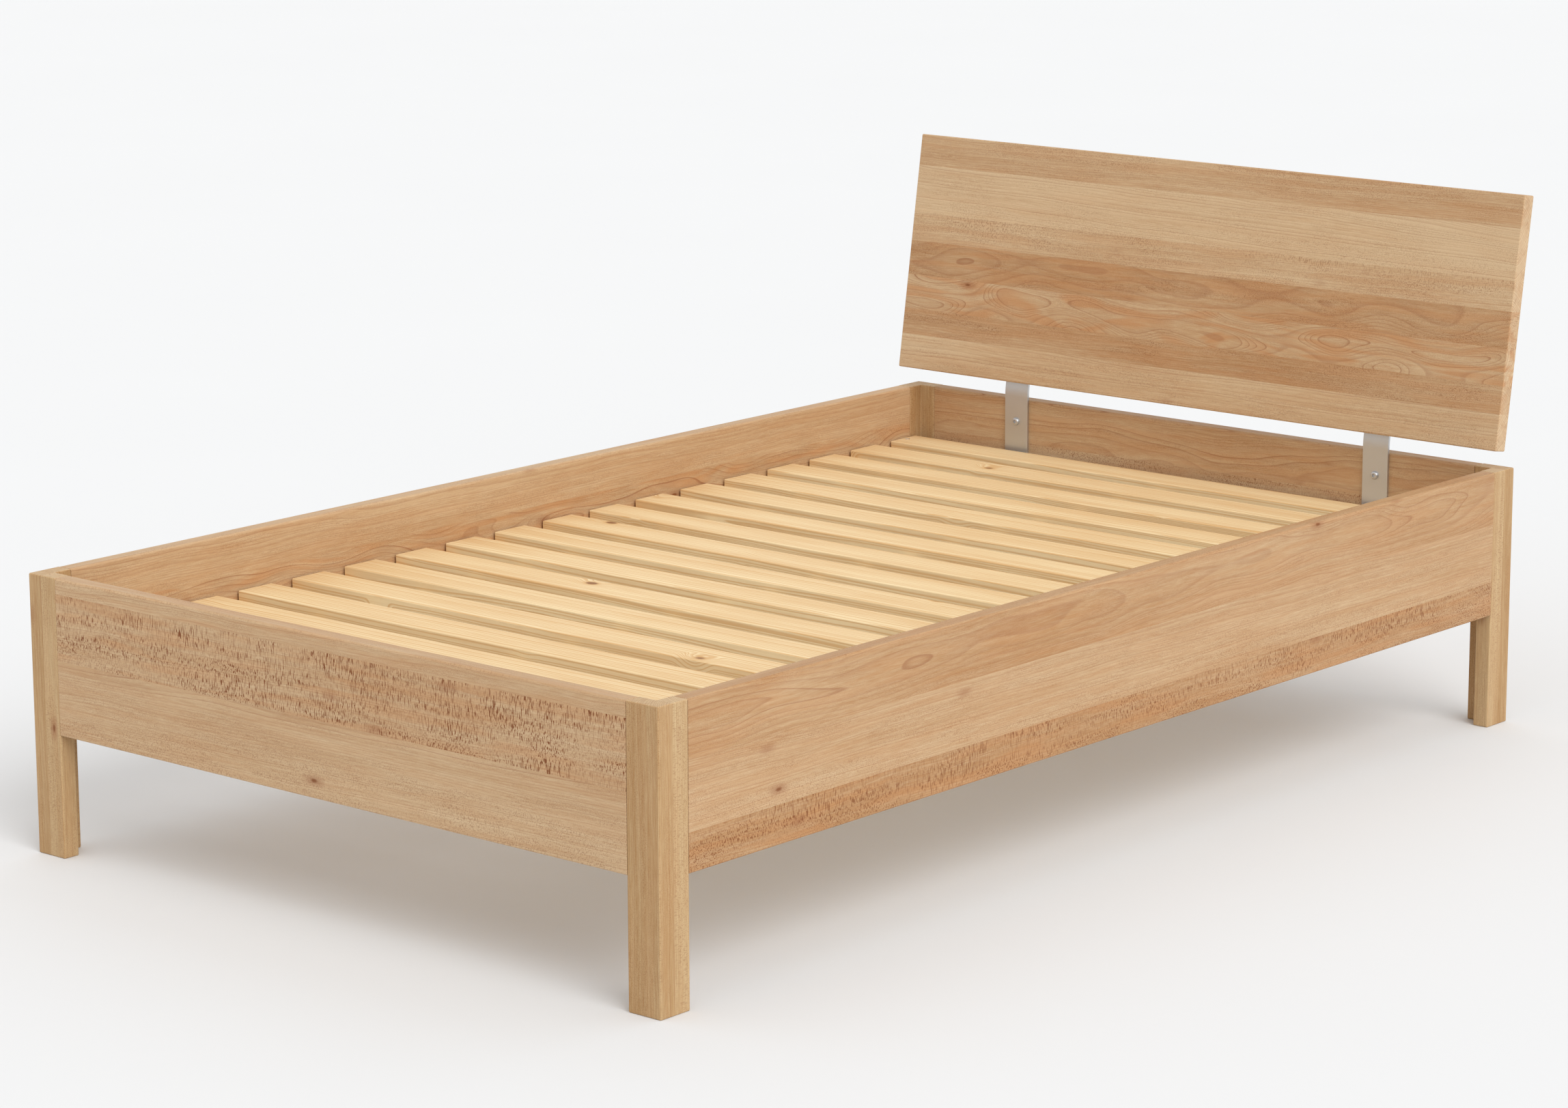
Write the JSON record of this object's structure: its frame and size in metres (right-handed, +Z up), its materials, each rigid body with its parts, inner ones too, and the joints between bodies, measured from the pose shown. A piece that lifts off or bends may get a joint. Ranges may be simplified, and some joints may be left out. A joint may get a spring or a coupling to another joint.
{
  "type": "bed frame",
  "caption": "Low solid-beech single bed frame: straight rails butted between L-section corner posts, a separate headboard leaning back on steel bars, and a rolled slat base.",
  "frame": {"origin": "on the floor under the middle of the whole bed's box, leaning headboard included", "axes": "+X to the right seen from the foot end, +Y along the bed from foot to head, +Z up from the floor"},
  "size_m": [1.26, 2.1268, 0.8797],
  "materials": {
    "beech_frame": "edge-glued solid beech, oiled, satin",
    "beech_posts": "solid beech, oiled, satin",
    "beech_dowels": "plain beech",
    "spruce_slats": "planed untreated spruce",
    "cotton_tape": "woven cotton tape, natural white",
    "zinc_plated_steel": "bright zinc plate, satin",
    "zinc_plated_fasteners": "bright zinc plate"
  },
  "bodies": {
    "root": {"foot_rail": "beech_frame", "head_rail": "beech_frame", "side_rail_left": "beech_frame", "side_rail_right": "beech_frame", "headboard": "beech_frame", "post_foot_left": "beech_posts", "post_foot_right": "beech_posts", "post_head_left": "beech_posts", "post_head_right": "beech_posts", "rail_dowels": "beech_dowels", "slat_01": "spruce_slats", "slat_02": "spruce_slats", "slat_03": "spruce_slats", "slat_04": "spruce_slats", "slat_05": "spruce_slats", "slat_06": "spruce_slats", "slat_07": "spruce_slats", "slat_08": "spruce_slats", "slat_09": "spruce_slats", "slat_10": "spruce_slats", "slat_11": "spruce_slats", "slat_12": "spruce_slats", "slat_13": "spruce_slats", "slat_14": "spruce_slats", "slat_15": "spruce_slats", "slat_16": "spruce_slats", "slat_17": "spruce_slats", "slat_18": "spruce_slats", "slat_ledger_left": "spruce_slats", "slat_ledger_right": "spruce_slats", "slat_tape_left": "cotton_tape", "slat_tape_middle": "cotton_tape", "slat_tape_right": "cotton_tape", "headboard_bracket_left": "zinc_plated_steel", "headboard_bracket_right": "zinc_plated_steel", "corner_bracket_foot_left": "zinc_plated_steel", "corner_bracket_foot_right": "zinc_plated_steel", "corner_bracket_head_left": "zinc_plated_steel", "corner_bracket_head_right": "zinc_plated_steel", "corner_bolts_foot_left": "zinc_plated_fasteners", "corner_bolts_foot_right": "zinc_plated_fasteners", "corner_bolts_head_left": "zinc_plated_fasteners", "corner_bolts_head_right": "zinc_plated_fasteners", "corner_inserts_foot_left": "zinc_plated_fasteners", "corner_inserts_foot_right": "zinc_plated_fasteners", "corner_inserts_head_left": "zinc_plated_fasteners", "corner_inserts_head_right": "zinc_plated_fasteners", "headboard_bolts": "zinc_plated_fasteners", "headboard_inserts": "zinc_plated_fasteners", "ledger_screws_left": "zinc_plated_fasteners", "ledger_screws_right": "zinc_plated_fasteners", "slat_screws": "zinc_plated_fasteners", "tape_staples": "zinc_plated_fasteners"}
  },
  "joints": []
}
